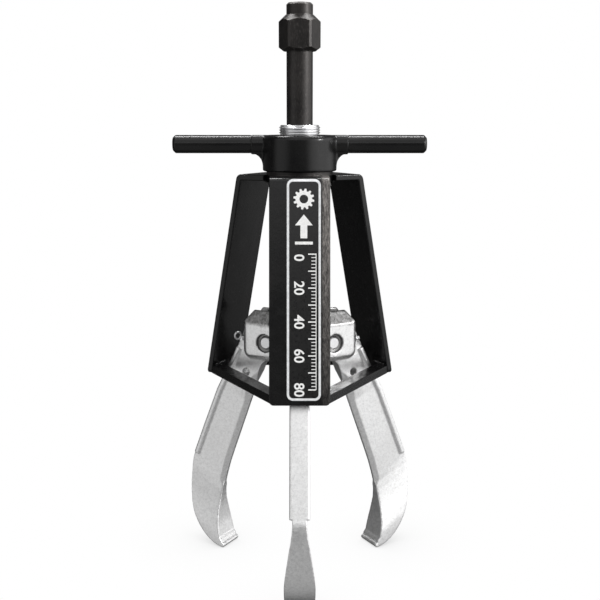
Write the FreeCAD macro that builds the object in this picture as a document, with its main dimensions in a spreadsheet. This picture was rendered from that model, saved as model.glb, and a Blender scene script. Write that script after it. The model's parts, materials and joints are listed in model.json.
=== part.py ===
import FreeCAD, Part
import math
import os
from FreeCAD import Vector, Placement, Rotation
import Sketcher

# Three-jaw gear puller with a guide cage, in millimetres, +Z up.
# Origin: on the forcing-screw axis, in the plane of the jaw tips.
# The front leg faces -Y, the other two stand 120 degrees either side of it.
# A leg, a jaw or a pin is drawn along +X and then turned to its place.

os.makedirs("parts", exist_ok=True)
doc = FreeCAD.newDocument("gear_puller")

# ---------------------------------------------------------------- sizes ----
SIZES = [
    # cage
    ("strap_width", 42.6, "width of each cage leg"),
    ("strap_thick", 4.4, "thickness of each cage leg"),
    ("cage_top", 305.2, "height of the cage's top face"),
    ("top_reach", 41.7, "axis to leg's outer face at the top"),
    ("foot_reach", 71.8, "axis to leg's outer face at the foot"),
    ("cage_foot", 149.7, "height of the cage's lower edge"),
    ("bend_outer", 4.6, "outer radius of the bend at the top of a leg"),
    ("collar_dia", 50.0, "collar plate the legs are welded to"),
    ("collar_thick", 6.0, "collar plate thickness"),
    ("bar_face", 51.5, "axis to the outer face of a ring bar"),
    ("bar_depth", 11.0, "ring bar depth, outwards"),
    ("bar_height", 6.2, "ring bar height"),
    # T-handle
    ("hub_dia", 54.2, "T-handle hub"),
    ("hub_low", 307.6, "underside of the hub"),
    ("hub_high", 333.7, "top of the hub"),
    ("sleeve_dia", 38.0, "hub sleeve that turns in the collar"),
    ("sleeve_low", 292.7, "lower end of the sleeve"),
    ("sleeve_gap", 0.05, "radial running clearance of the sleeve"),
    ("handle_dia", 13.2, "T-handle bar"),
    ("handle_half", 92.8, "axis to the end of a T-handle bar"),
    ("handle_axis", 327.1, "height of the T-handle bars"),
    ("spigot_dia", 12.0, "bar end held in the hub"),
    ("boss_end", 35.7, "axis to the shoulder of a T-handle bar"),
    # jaw head
    ("stem_dia", 30.0, "threaded stem"),
    ("stem_top", 340.8, "top of the stem"),
    ("stem_pitch", 1.8142857, "14 threads to the inch"),
    ("head_low", 162.1, "underside of the jaw head"),
    ("head_high", 201.0, "top of the jaw head"),
    ("lug_reach", 44.8, "axis to the outer end of a lug"),
    ("lug_width", 26.0, "width of a forked lug"),
    ("slot_width", 10.3, "slot of the fork"),
    ("pin_reach", 23.9, "axis to a clevis pin"),
    ("pin_height", 177.0, "height of the clevis pins"),
    ("pin_dia", 9.5, "clevis pin"),
    ("screw_bore", 22.4, "bore for the forcing screw"),
    # jaws
    ("web_thick", 9.9, "jaw web"),
    ("rib_width", 14.3, "rib on the back of a jaw"),
    ("hook_width", 22.2, "jaw hook at the tip"),
    # forcing screw
    ("shank_dia", 19.05, "smooth shank, 3/4 inch"),
    ("thread_dia", 22.2, "screw thread, 7/8 inch"),
    ("hex_flats", 27.0, "drive hexagon across flats"),
    ("hex_low", 393.0, "underside of the hexagon"),
    ("hex_high", 418.1, "top of the hexagon"),
    ("stub_top", 426.5, "top of the screw"),
    ("tip_low", 131.0, "point of the swivel tip"),
]
sheet = doc.addObject("Spreadsheet::Sheet", "Sizes")
size = {}
for row, (alias, value, note) in enumerate(SIZES, start=1):
    sheet.set("A%d" % row, note)
    sheet.set("B%d" % row, str(value))
    sheet.setAlias("B%d" % row, alias)
    size[alias] = value
doc.recompute()

AZIMUTH = {"front": -90.0, "right": 30.0, "left": 150.0}
ALONG_Y = Rotation(Vector(1, 0, 0), -90)      # local z -> +Y
MIRRORED = ((1, "a"), (-1, "b"))              # the two sides of a piece
# a quarter arc's middle lies this share of the radius inside both sides of the square corner
CORNER = 1 - math.sqrt(0.5)


class Driven:
    """A number together with the sheet expression it comes from."""

    def __init__(self, value, formula):
        self.value, self.formula = value, formula

    def joined(self, sign, other, value):
        right = other.formula if isinstance(other, Driven) else repr(float(other))
        return Driven(value, "(%s %s %s)" % (self.formula, sign, right))

    def __add__(self, other):
        return self.joined("+", other, self.value + number(other))

    def __sub__(self, other):
        return self.joined("-", other, self.value - number(other))

    def __truediv__(self, other):
        return self.joined("/", other, self.value / number(other))


def dim(alias):
    return Driven(size[alias], "Sizes." + alias)


def number(x):
    return x.value if isinstance(x, Driven) else float(x)


def bind(feature, prop, x):
    setattr(feature, prop, number(x))
    if isinstance(x, Driven):
        feature.setExpression(prop, x.formula)


# ------------------------------------------------------ modelling helpers ----
pieces = []


def new_body(label, angle=0.0):
    part = doc.addObject("PartDesign::Body", "Body_" + label)
    part.Label = label
    part.Placement = Placement(Vector(0, 0, 0), Rotation(Vector(0, 0, 1), angle))
    pieces.append(part)
    return part


def origin(part, role):
    return next(f for f in part.Origin.OriginFeatures if f.Role == role)


def attach(feature, part, role, offset):
    feature.AttachmentSupport = [(origin(part, role), "")]
    feature.MapMode = "FlatFace"
    feature.AttachmentOffset = offset


def placed_sketch(part, name, role, offset):
    drawing = part.newObject("Sketcher::SketchObject", part.Label + "_" + name)
    attach(drawing, part, role, offset)
    return drawing


def new_sketch(part, name, role, lift=0.0):
    offset = Placement(Vector(0, 0, number(lift)), Rotation())
    drawing = placed_sketch(part, name, role, offset)
    if isinstance(lift, Driven):
        drawing.setExpression("AttachmentOffset.Base.z", lift.formula)
    return drawing


def outline(drawing, points, fixed=False):
    """Closed outline. An entry is (x, y), or ("arc", x middle, y middle, x, y), or
    ("spline", [(x, y), ...]) ending at its last point. With fixed, the corners are
    constrained and follow the sheet."""
    first = points[0]
    here = (number(first[0]), number(first[1]))
    edges = []
    corners = [(0, 1, first)]
    for point in list(points[1:]) + [first]:
        start = Vector(here[0], here[1], 0)
        if point[0] == "arc":
            mid_x, mid_y, x, y = [number(q) for q in point[1:]]
            curve = Part.Arc(start, Vector(mid_x, mid_y, 0), Vector(x, y, 0))
            here = (x, y)
            index = drawing.addGeometry(curve)
        elif point[0] == "spline":
            curve = Part.BSplineCurve()
            curve.interpolate([start] + [Vector(x, y, 0) for x, y in point[1]])
            here = point[1][-1]
            index = drawing.addGeometry(curve)
        else:
            end = (number(point[0]), number(point[1]))
            if math.hypot(end[0] - here[0], end[1] - here[1]) < 1e-6:
                continue
            here = end
            index = drawing.addGeometry(Part.LineSegment(start, Vector(end[0], end[1], 0)))
            if point is not first:
                corners.append((index, 2, point))
        edges.append(index)
    if not fixed:
        return
    for i, index in enumerate(edges):
        following = edges[(i + 1) % len(edges)]
        drawing.addConstraint(Sketcher.Constraint("Coincident", index, 2, following, 1))
    for index, end, (x, y) in corners:
        for kind, distance, axis in (("DistanceX", x, -2), ("DistanceY", y, -1)):
            if abs(number(distance)) < 1e-9:
                drawing.addConstraint(Sketcher.Constraint("PointOnObject", index, end, axis))
                continue
            rule = drawing.addConstraint(Sketcher.Constraint(kind, index, end, number(distance)))
            if isinstance(distance, Driven):
                drawing.setExpression("Constraints[%d]" % rule, distance.formula)


def draw(part, name, points, role="XZ_Plane", lift=0.0, fixed=False):
    drawing = new_sketch(part, name, role, lift)
    outline(drawing, points, fixed)
    return drawing


def pad(part, drawing, length, name, both=False):
    feature = part.newObject("PartDesign::Pad", part.Label + "_" + name)
    feature.Profile = drawing
    bind(feature, "Length", length)
    if both:
        feature.SideType = "Symmetric"
    return feature


def revolve(part, drawing, name, axis="V_Axis"):
    feature = part.newObject("PartDesign::Revolution", part.Label + "_" + name)
    feature.Profile = drawing
    feature.ReferenceAxis = (drawing, [axis])
    feature.Angle = 360


def volume(part):
    doc.recompute()
    return part.Shape.Volume


def require_cut(part, before, feature, least=1e-3, most=math.inf):
    """Stop if the feature took away too little or too much of the part."""
    removed = before - volume(part)
    if not least < removed < most:
        raise RuntimeError("%s removed %.1f mm3" % (feature.Label, removed))


def cut(part, drawing, name, length=None):
    """Pocket: right through both ways, or a length along the sketch's normal."""
    before = volume(part)
    feature = part.newObject("PartDesign::Pocket", part.Label + "_" + name)
    feature.Profile = drawing
    if length is None:
        feature.Type = "ThroughAll"
        feature.SideType = "Symmetric"
    else:
        bind(feature, "Length", length)
        feature.Reversed = True
    require_cut(part, before, feature)
    return feature


def loft_cut(part, name, sections, least, most=math.inf):
    before = volume(part)
    feature = part.newObject("PartDesign::SubtractiveLoft", part.Label + "_" + name)
    feature.Profile = sections[0]
    feature.Sections = [(section, [""]) for section in sections[1:]]
    feature.Ruled = True
    require_cut(part, before, feature, least, most)


def primitive(part, kind, name, sizes, at, rotation=None):
    """Additive or subtractive box or cylinder, its corner or base centre at a point."""
    cuts = kind.startswith("Subtractive")
    before = volume(part) if cuts else None
    feature = part.newObject("PartDesign::" + kind, part.Label + "_" + name)
    place = Placement(Vector(*[number(x) for x in at]), rotation or Rotation())
    attach(feature, part, "XY_Plane", place)
    for axis, x in zip("xyz", at):
        if isinstance(x, Driven):
            feature.setExpression("AttachmentOffset.Base." + axis, x.formula)
    for prop, x in sizes.items():
        bind(feature, prop, x)
    if cuts:
        require_cut(part, before, feature)
    return feature


def cylinder(part, name, radius, height, at, rotation=None, kind="Subtractive"):
    """Round hole or boss: its axis runs along the rotation's z from the point."""
    sizes = {"Radius": radius, "Height": height}
    return primitive(part, kind + "Cylinder", name, sizes, at, rotation)


def cross_hole(part, name, radius, x, z):
    """Hole along Y, 30 either side of the XZ plane."""
    return cylinder(part, name, radius, 60.0, (x, -30.0, z), ALONG_Y)


def cut_box(part, name, length, width, height, at):
    sizes = {"Length": length, "Width": width, "Height": height}
    return primitive(part, "SubtractiveBox", name, sizes, at)


def three_times(part, feature, name):
    pattern = part.newObject("PartDesign::PolarPattern", part.Label + "_" + name)
    pattern.Originals = [feature]
    pattern.Axis = (origin(part, "Z_Axis"), [""])
    pattern.Angle = 360
    pattern.Occurrences = 3
    part.Tip = pattern
    doc.recompute()


def soften(part, name, amount, pick, kind="Fillet"):
    """Round or bevel the picked edges of the body's tip. A smaller amount is tried where
    the full one fails, and the edges stay sharp where none holds."""
    doc.recompute()
    base = part.Tip
    names = ["Edge%d" % (i + 1) for i, edge in enumerate(base.Shape.Edges) if pick(edge)]
    if not names:
        return
    before = part.Shape.Volume
    for share in (1.0, 0.6, 0.35):
        feature = part.newObject("PartDesign::" + kind, part.Label + "_" + name)
        feature.Base = (base, names)
        setattr(feature, "Radius" if kind == "Fillet" else "Size", amount * share)
        doc.recompute()
        shape = feature.Shape
        holds = "Invalid" not in feature.State and "Error" not in feature.State
        holds = holds and not shape.isNull() and shape.isValid() and len(shape.Solids) == 1
        if holds and 0.85 * before < shape.Volume < 1.02 * before:
            return
        part.removeObject(feature)
        doc.removeObject(feature.Name)
        part.Tip = base
        doc.recompute()


def middle(edge):
    start, end = edge.ParameterRange
    return edge.valueAt((start + end) / 2)


def from_axis(edge):
    return math.hypot(middle(edge).x, middle(edge).y)


def on_side(edge, width):
    return abs(abs(middle(edge).y) - width / 2) < 0.01


def is_circle(edge):
    return isinstance(edge.Curve, Part.Circle)


def runs_along(edge, direction):
    if not isinstance(edge.Curve, Part.Line):
        return False
    tangent = edge.tangentAt(edge.ParameterRange[0])
    return abs(abs(tangent.dot(direction)) - 1) < 0.02


# threads are plain rings, one to each pitch
THREAD_DEPTH = 1.0


def thread(crest, start, turns):
    """Half section of the rings from a height up, as (radius, height)."""
    pitch = size["stem_pitch"]
    root = crest - THREAD_DEPTH
    points = []
    for i in range(turns):
        z = start + i * pitch
        points += [(root, z + 0.10), (crest, z + 0.78), (crest, z + 1.03),
                   (root, z + pitch - 0.10)]
    return points


# ----------------------------------------------------------------- cage ----
# angle of a leg off the vertical
LEAN = math.atan2(size["foot_reach"] - size["top_reach"], size["cage_top"] - size["cage_foot"])
FOOT_INNER = size["foot_reach"] - size["strap_thick"] / math.cos(LEAN)
# centre of the bend, which turns from the level top down to the leaning face
BEND_OUTER = size["bend_outer"]
BEND_X = size["top_reach"] - BEND_OUTER * math.tan((math.pi / 2 - LEAN) / 2)
BEND_Z = size["cage_top"] - BEND_OUTER


def bend_point(radius, angle):
    return BEND_X + radius * math.cos(angle), BEND_Z + radius * math.sin(angle)


def cage_leg(label, angle):
    """Flat bar bent over at the top; its inner end fits the round collar."""
    part = new_body(label, angle)
    inner_end = 18.0
    bend_inner = BEND_OUTER - size["strap_thick"]
    halfway = (math.pi / 2 + LEAN) / 2
    profile = draw(part, "profile", [
        (inner_end, dim("cage_top") - dim("strap_thick")),
        (inner_end, dim("cage_top")),
        (BEND_X, dim("cage_top")),
        ("arc",) + bend_point(BEND_OUTER, halfway) + bend_point(BEND_OUTER, LEAN),
        (dim("foot_reach"), dim("cage_foot")),
        (FOOT_INNER, dim("cage_foot")),
        bend_point(bend_inner, LEAN),
        ("arc",) + bend_point(bend_inner, halfway) + (BEND_X, BEND_Z + bend_inner)])
    pad(part, profile, dim("strap_width"), "strap", both=True)
    cylinder(part, "collar_seat", dim("collar_dia") / 2, 20.0, (0, 0, dim("cage_top") - 12.0))
    width, foot = size["strap_width"], size["cage_foot"]
    soften(part, "foot_corners", 3.2,
           lambda edge: on_side(edge, width) and middle(edge).z < foot + 1.0 and edge.Length < 6)
    soften(part, "long_edges", 0.9, lambda edge: on_side(edge, width) and edge.Length > 3)


def cage_collar():
    part = new_body("cage_collar")
    bore = dim("sleeve_dia") / 2 + dim("sleeve_gap")
    rim = dim("collar_dia") / 2
    low, high = dim("cage_top") - dim("collar_thick"), dim("cage_top")
    section = draw(part, "section", [(bore, low), (rim, low), (rim, high), (bore, high)],
                   fixed=True)
    revolve(part, section, "disc")
    soften(part, "lower_rim", 1.2,
           lambda edge: abs(middle(edge).z - low.value) < 0.01 and from_axis(edge) > 24,
           "Chamfer")


def ring_bar(label, angle):
    """Flat bar between two legs, mitred against their inner faces."""
    length = 124.0
    blank = doc.addObject("Part::Box", label + "_blank")
    bind(blank, "Length", dim("bar_depth"))
    bind(blank, "Height", dim("bar_height"))
    blank.Width = length
    blank.Placement = Placement(
        Vector(size["bar_face"] - size["bar_depth"], -length / 2, size["cage_foot"]), Rotation())
    blank.setExpression("Placement.Base.x", "Sizes.bar_face - Sizes.bar_depth")
    blank.setExpression("Placement.Base.z", "Sizes.cage_foot")
    # a trimming block lies on the inner face of each neighbouring leg
    trims = []
    for side, tag in ((-1, "a"), (1, "b")):
        trim = doc.addObject("Part::Box", label + "_trim_" + tag)
        trim.Length, trim.Width, trim.Height = 60.0, 160.0, 120.0
        to_leg = Rotation(Vector(0, 0, 1), 60.0 * side)
        foot = to_leg.multVec(Vector(FOOT_INNER, 0, size["cage_foot"]))
        tilted = to_leg.multiply(Rotation(Vector(0, 1, 0), -math.degrees(LEAN)))
        trim.Placement = Placement(foot + tilted.multVec(Vector(0, -80, -60)), tilted)
        trims.append(trim)
    tool = doc.addObject("Part::MultiFuse", label + "_trims")
    tool.Shapes = trims
    mitred = doc.addObject("Part::Cut", label + "_cut")
    mitred.Base, mitred.Tool = blank, tool
    doc.recompute()
    bar = doc.addObject("Part::Fillet", label + "_round")
    bar.Base = mitred
    bar.Edges = [(i + 1, 0.7, 0.7) for i, edge in enumerate(mitred.Shape.Edges)
                 if runs_along(edge, Vector(0, 1, 0))]
    bar.Label = label
    bar.Placement = Placement(Vector(0, 0, 0), Rotation(Vector(0, 0, 1), angle))
    doc.recompute()
    pieces.append(bar)


# name plate: its centre line across the leg, its lower and upper end
PLATE_Y, PLATE_LOW, PLATE_HIGH = 2.9, 152.9, 304.75
# layer, height above the leg's face, and its rounded outlines, each as
# (half width, inset from the plate's ends, corner radius)
PLATE_LAYERS = [
    ("border", 0.45, [(11.8, 0.6, 4.2), (10.2, 2.2, 2.8)]),
    ("plate", 0.3, [(12.4, 0.0, 4.8)]),
]


def face_strip(lift):
    """Layer on the outer face of a leg, from below the plate up onto the bend."""
    low, last = PLATE_LOW - 3.0, math.radians(80)
    face_x = size["foot_reach"] - (low - size["cage_foot"]) * math.tan(LEAN)
    halfway = (LEAN + last) / 2
    outer = BEND_OUTER + lift
    return [(face_x, low),
            (face_x + lift * math.cos(LEAN), low + lift * math.sin(LEAN)),
            bend_point(outer, LEAN),
            ("arc",) + bend_point(outer, halfway) + bend_point(outer, last),
            bend_point(BEND_OUTER, last),
            ("arc",) + bend_point(BEND_OUTER, halfway) + bend_point(BEND_OUTER, LEAN)]


def rounded(x, y, half_width, half_height, radius):
    """Rectangle with rounded corners about a centre."""
    inset = radius * CORNER
    x0, x1, y0, y1 = x - half_width, x + half_width, y - half_height, y + half_height
    return [(x0 + radius, y0), (x1 - radius, y0),
            ("arc", x1 - inset, y0 + inset, x1, y0 + radius), (x1, y1 - radius),
            ("arc", x1 - inset, y1 - inset, x1 - radius, y1), (x0 + radius, y1),
            ("arc", x0 + inset, y1 - inset, x0, y1 - radius), (x0, y0 + radius),
            ("arc", x0 + inset, y0 + inset, x0 + radius, y0)]


def name_plate():
    """Thin plate with a raised border on the front leg, carried up over the bend."""
    part = new_body("name_plate", AZIMUTH["front"])
    centre_z, half_z = (PLATE_LOW + PLATE_HIGH) / 2, (PLATE_HIGH - PLATE_LOW) / 2
    for layer, lift, rings in PLATE_LAYERS:
        strip = draw(part, layer + "_strip", face_strip(lift))
        pad(part, strip, 60.0, layer + "_pad", both=True)
        around = draw(part, layer + "_outline",
                      [(-60, 100), (60, 100), (60, 360), (-60, 360)], "YZ_Plane")
        for half_width, inset, radius in rings:
            outline(around, rounded(PLATE_Y, centre_z, half_width, half_z - inset, radius))
        cut(part, around, layer + "_cut")


for side in ("front", "left", "right"):
    cage_leg("cage_leg_" + side, AZIMUTH[side])
cage_collar()
for side, angle in (("right", -30.0), ("left", 210.0), ("rear", 90.0)):
    ring_bar("cage_ring_bar_" + side, angle)
name_plate()

# ------------------------------------------------------------- T-handle ----
GROOVE_RADIUS, GROOVE_LOW, GROOVE_HIGH = 17.7, 294.9, 296.9     # near the sleeve's foot
SPIGOT_START = 20.5       # axis to the inner end of a T-handle bar


def t_handle_hub():
    part = new_body("t_handle_hub")
    sleeve = size["sleeve_dia"] / 2
    bore = size["stem_dia"] / 2 + 0.1
    rim, low, high = size["hub_dia"] / 2, size["hub_low"], size["hub_high"]
    round_top, round_low = 3.4, 1.2
    section = draw(part, "section", [
        (bore, size["sleeve_low"]), (sleeve, size["sleeve_low"]),
        (sleeve, GROOVE_LOW), (GROOVE_RADIUS, GROOVE_LOW),
        (GROOVE_RADIUS, GROOVE_HIGH), (sleeve, GROOVE_HIGH),
        (sleeve, low), (rim - round_low, low),
        ("arc", rim - round_low * CORNER, low + round_low * CORNER, rim, low + round_low),
        (rim, high - round_top),
        ("arc", rim - round_top * CORNER, high - round_top * CORNER, rim - round_top, high),
        (bore, high)])
    revolve(part, section, "hub_turn")
    # webs with a hollow underside run from the bosses down into the hub
    axis = size["handle_axis"]
    hollow = 8.6
    root, web_end = rim - 4.0, rim + hollow
    web_top = axis - size["handle_dia"] / 2
    web_low = web_top - hollow
    reach = hollow * math.sqrt(0.5)
    sides = ((1, "right"), (-1, "left"))
    for side, tag in sides:
        outward = Rotation(Vector(0, 1, 0), 90 * side)
        web = draw(part, "web_" + tag, [
            (side * root, axis), (side * web_end, axis), (side * web_end, web_top),
            ("arc", side * (web_end - reach), web_low + reach,
             side * (web_end - hollow), web_low),
            (side * root, web_low)])
        pad(part, web, 9.0, "web_pad_" + tag, both=True)
        cylinder(part, "boss_" + tag, dim("handle_dia") / 2 + 0.9, dim("boss_end") - root,
                 (side * root, 0, dim("handle_axis")), outward, "Additive")
    # the bosses are trimmed flush with the top of the hub
    cut_box(part, "top_face", 120.0, 60.0, 10.0, (-60.0, -30.0, dim("hub_high")))
    for side, tag in sides:
        cylinder(part, "socket_" + tag, dim("spigot_dia") / 2, 40.0,
                 (side * SPIGOT_START, 0, dim("handle_axis")),
                 Rotation(Vector(0, 1, 0), 90 * side))


def handle_bar(label, angle):
    part = new_body(label, angle)
    axis, end, shoulder = dim("handle_axis"), dim("handle_half"), dim("boss_end")
    radius, spigot = dim("handle_dia") / 2, dim("spigot_dia") / 2
    bevel = 2.0
    section = draw(part, "section", [
        (SPIGOT_START, axis), (end, axis), (end, axis + radius - bevel),
        (end - bevel, axis + radius), (shoulder, axis + radius), (shoulder, axis + spigot),
        (SPIGOT_START, axis + spigot)], fixed=True)
    revolve(part, section, "bar", "Edge1")
    soften(part, "end", 1.6,
           lambda edge: is_circle(edge) and middle(edge).x > end.value - 2.5)


def washer(label, outer, low, high):
    part = new_body(label)
    inner = dim("sleeve_dia") / 2 + 0.1
    section = draw(part, "section", [(inner, low), (outer, low), (outer, high), (inner, high)],
                   fixed=True)
    revolve(part, section, "disc")


def retaining_ring():
    """Open spring ring with an eye either side of its gap, which faces +X."""
    part = new_body("retaining_ring")
    inner, outer, low, thick = 17.75, 21.2, 295.0, 1.8
    gap = math.radians(14)
    across, along = math.cos(gap), math.sin(gap)
    ring = draw(part, "ring", [
        (inner * across, inner * along),
        ("arc", -inner, 0, inner * across, -inner * along),
        (outer * across, -outer * along),
        ("arc", -outer, 0, outer * across, outer * along)], "XY_Plane", low)
    pad(part, ring, thick, "ring_pad")
    # kind, name, radius, axis to centre, height, lower end
    for kind, name, radius, reach, height, z in (
            ("Additive", "eye_", 3.0, 20.8, thick, low),
            ("Subtractive", "eye_hole_", 1.1, 21.0, 4.0, low - 1.0)):
        for side, tag in MIRRORED:
            angle = side * math.radians(20)
            cylinder(part, name + tag, radius, height,
                     (reach * math.cos(angle), reach * math.sin(angle), z), None, kind)


t_handle_hub()
handle_bar("t_handle_bar_right", 0.0)
handle_bar("t_handle_bar_left", 180.0)
washer("thrust_washer", 24.4, dim("cage_top") + 0.04, dim("hub_low"))
washer("lower_washer", 23.2, GROOVE_HIGH, dim("cage_top") - dim("collar_thick") - 0.05)
retaining_ring()

# ------------------------------------------------------------- jaw head ----
# the stem's plain end sits in a bore in the top of the block
SEAT_RADIUS, SEAT_DEPTH = 13.2, 15.0


def jaw_head_block():
    part = new_body("jaw_head_block", AZIMUTH["front"])
    reach, low, high = dim("lug_reach"), dim("head_low"), dim("head_high")
    rounding = 8.0
    inset = rounding * CORNER
    profile = draw(part, "lug", [
        (0, low), (reach - rounding, low),
        ("arc", reach.value - inset, low.value + inset, reach.value, low.value + rounding),
        (reach, high - 11.0), (reach - 8.4, high), (0, high)], fixed=True)
    lug = pad(part, profile, dim("lug_width"), "lug_pad", both=True)
    three_times(part, lug, "lugs")
    core = new_sketch(part, "core", "XY_Plane", low)
    core.addGeometry(Part.Circle(Vector(0, 0, 0), Vector(0, 0, 1), 20.5))
    pad(part, core, high - low, "core_pad")
    soften(part, "lug_corners", 5.6,
           lambda edge: runs_along(edge, Vector(0, 0, 1)) and from_axis(edge) > 42)
    # sloping shoulders along the top of every lug
    edge_y, top = size["lug_width"] / 2, size["head_high"]
    for side, tag in MIRRORED:
        slope = draw(part, "roof_" + tag, [
            (side * (edge_y + 3.0), top - 14.25), (side * (edge_y - 7.26), top + 2.0),
            (side * (edge_y + 3.0), top + 2.0)], "YZ_Plane", 19.6)
        three_times(part, cut(part, slope, "roof_cut_" + tag, 40.0), "roofs_" + tag)
    cylinder(part, "screw_hole", dim("screw_bore") / 2, 80.0, (0, 0, low - 10.0))
    cylinder(part, "stem_seat", SEAT_RADIUS, 40.0, (0, 0, high - SEAT_DEPTH))
    slot = cut_box(part, "fork_slot", 50.0, dim("slot_width"), 80.0,
                   (15.0, dim("slot_width") / -2.0, low - 10.0))
    three_times(part, slot, "slots")
    hole = cross_hole(part, "pin_hole", dim("pin_dia") / 2, dim("pin_reach"), dim("pin_height"))
    three_times(part, hole, "pin_holes")
    for tag, start in (("a", 10.2), ("b", -30.2)):
        recess = cylinder(part, "pin_recess_" + tag, 7.1, 20.0,
                          (dim("pin_reach"), start, dim("pin_height")), ALONG_Y)
        three_times(part, recess, "recesses_" + tag)


def jaw_head_stem():
    """Threaded tube with a spigot into the block."""
    part = new_body("jaw_head_stem")
    bore, crest = size["screw_bore"] / 2, size["stem_dia"] / 2
    root = crest - THREAD_DEPTH
    top, shoulder = size["stem_top"], size["head_high"]
    plain_top, thread_top = 228.0, top - 0.9
    turns = int((thread_top - plain_top) / size["stem_pitch"])
    thread_low = thread_top - turns * size["stem_pitch"]
    section = draw(part, "section", [
        (bore, shoulder - SEAT_DEPTH), (SEAT_RADIUS, shoulder - SEAT_DEPTH),
        (SEAT_RADIUS, shoulder), (crest - 0.1, shoulder), (crest - 0.1, plain_top),
        (root, thread_low - 0.5)] + thread(crest, thread_low, turns) + [
        (root, top - 0.3), (root - 0.3, top), (bore, top)])
    revolve(part, section, "stem_turn")


jaw_head_block()
jaw_head_stem()

# ----------------------------------------------------------------- jaws ----
# outline of a jaw, as (distance from the axis, height)
SHOULDER = [(44.5, 187.2), (46.6, 185.6), (51.0, 176.0)]
BACK = [(53.8, 170.0), (61.5, 154.5), (72.7, 133.5), (86.3, 101.1), (96.4, 76.2)]
HOOK = [(98.35, 70.5), (98.95, 64.0), (99.0, 55.0), (98.5, 46.0), (97.3, 36.0),
        (95.0, 26.5), (91.0, 17.6), (84.8, 9.2), (76.0, 2.6), (66.6, 0.0)]
TIP = [(65.8, 0.7), (65.5, 2.2), (66.3, 3.3), (67.8, 3.9), (68.0, 5.6), (69.0, 6.9),
       (69.9, 7.6)]
HOOK_INNER = [(70.7, 12.5), (71.6, 18.0), (72.2, 25.0), (72.4, 32.0), (72.0, 41.0),
              (70.7, 50.0), (68.3, 60.0), (64.9, 71.3)]
SHANK_TOP = (35.0, 150.4)             # upper end of the shank's inner edge
SHANK_INNER = [(60.7, 82.8), SHANK_TOP, (32.0, 157.6)]
EYE_RADIUS = 8.7
RIB_DEPTH = 4.5

# the flare to the hook begins along a line this steep, rising outwards
SLANT = math.radians(28.4)
# height across the slant, half width 60 out along it, half width 130 out along it
FLANK = [(88.0, 0.99, 5.13), (17.0, 1.55, 5.70), (12.0, 0.85, 6.50), (6.0, 0.90, 7.92),
         (-1.0, 2.52, 9.78), (-8.7, 6.52, 10.45), (-16.0, 9.47, 10.95),
         (-21.0, 10.75, 11.13), (-25.0, 11.2, 11.2)]
# distance down the shank, then inner and outer end of the falling edge, each as
# depth outwards from the shank's inner edge and half width
FALL = [(-4.0, -8.0, 5.2, -0.8, 5.3), (8.0, -6.0, -1.7, 4.8, 3.95),
        (84.6, -6.0, -1.7, 4.8, 3.95), (102.5, -7.5, -1.7, 3.3, 3.95),
        (116.4, -10.5, 4.9, -4.6, 5.0)]
COTTER_X, COTTER_Z = 48.6, 177.4


def cut_flanks(part):
    """The web thins towards its inner edge, and below a slanting line at the knee it
    flares to the hook width."""
    web, hook = size["web_thick"] / 2, size["hook_width"] / 2
    for side, tag in MIRRORED:
        sections = []
        for name, out, column in (("near_", 60.0, 1), ("far_", 130.0, 2)):
            place = Placement(Vector(0, out * math.sin(SLANT), out * math.cos(SLANT)),
                              Rotation(Vector(1, 0, 0), -math.degrees(SLANT)))
            section = placed_sketch(part, "flank_" + name + tag, "YZ_Plane", place)
            outline(section, [(side * web, 250.0), (side * web, 100.0)]
                    + [(side * station[column], station[0]) for station in FLANK]
                    + [(side * (hook - 0.4), -38.0), (side * (hook - 0.8), -60.0),
                       (side * 30.0, -60.0), (side * 30.0, 250.0)])
            sections.append(section)
        loft_cut(part, "flank_cut_" + tag, sections, least=1000.0)


def cut_shank_corners(part):
    """The inner corners of the shank fall away, and run out into the flare."""
    top = Vector(SHANK_TOP[0], 0, SHANK_TOP[1])
    down = (Vector(HOOK_INNER[-1][0], 0, HOOK_INNER[-1][1]) - top).normalize()
    outward = Vector(-down.z, 0, down.x)
    across = Rotation(outward, Vector(0, 1, 0), Vector(-down.x, 0, -down.z), "XYZ")
    for side, tag in MIRRORED:
        sections = []
        for i, (along, inner, inner_half, outer, outer_half) in enumerate(FALL):
            section = placed_sketch(part, "fall_%s%d" % (tag, i), "XY_Plane",
                                    Placement(top + down * along, across))
            outline(section, [(inner, side * inner_half), (outer, side * outer_half),
                              (outer, side * 13.0), (inner, side * 13.0)])
            sections.append(section)
        loft_cut(part, "fall_cut_" + tag, sections, least=80, most=600)


def add_rib(part):
    """Rib along the back of the straight shank."""
    inner = []
    for i, (x, z) in enumerate(BACK):
        above, below = BACK[max(i - 1, 0)], BACK[min(i + 1, len(BACK) - 1)]
        dx, dz = below[0] - above[0], below[1] - above[1]
        span = math.hypot(dx, dz)
        inner.append((x + dz / span * RIB_DEPTH, z - dx / span * RIB_DEPTH))
    profile = draw(part, "rib", BACK + inner[::-1])
    pad(part, profile, dim("rib_width"), "rib_pad", both=True)
    soften(part, "rib_edges", 1.3,
           lambda edge: on_side(edge, size["rib_width"]) and edge.Length > 10)


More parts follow.
